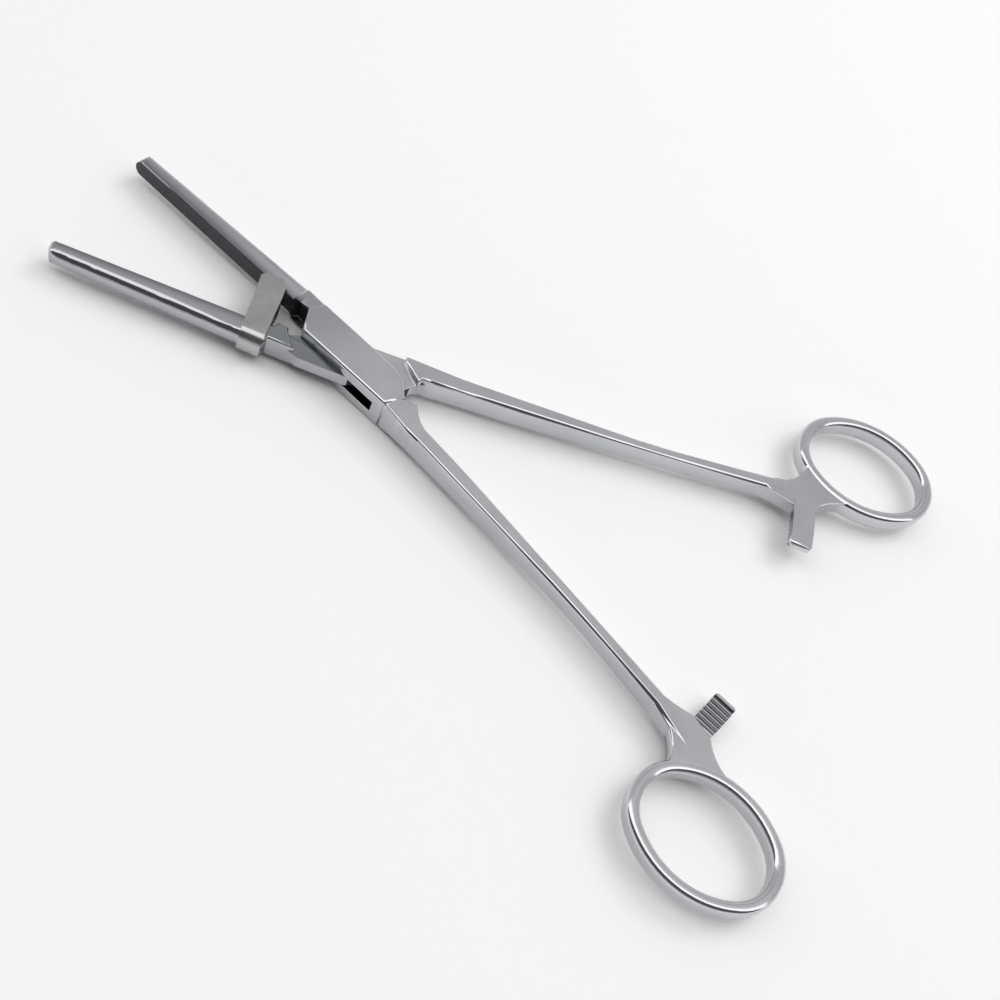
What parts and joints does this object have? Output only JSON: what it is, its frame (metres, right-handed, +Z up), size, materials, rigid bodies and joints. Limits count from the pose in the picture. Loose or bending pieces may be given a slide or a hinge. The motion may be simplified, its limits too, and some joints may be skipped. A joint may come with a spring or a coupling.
{
  "type": "ratchet tubing clamp",
  "caption": "Ring-handled steel clamp with a box lock, slim jaws with a guard strip, and a ratchet between the handles, for pinching tubing shut",
  "frame": {"origin": "the foot of the pivot axis, on the underside of the box lock, where the clamp rests on a table", "axes": "+X from the pivot towards the finger rings along the bisector of the open halves, +Y towards the upper jaw's side, +Z up along the pivot pin"},
  "size_m": [0.1801, 0.1226, 0.008],
  "materials": {
    "satin_steel": "satin flats with polished edges",
    "guard_steel": "matte grey strip"
  },
  "bodies": {
    "female": {"female_half": "satin_steel", "box_lock_pin": "satin_steel"},
    "male": {"male_half": "satin_steel", "guard": "guard_steel"}
  },
  "joints": [
    {"name": "box_lock", "type": "hinge", "parent": "female", "child": "male", "pos_m": [0, 0, 0.004], "axis": [0, 0, 1], "range_deg": [-25.4, 14]}
  ]
}
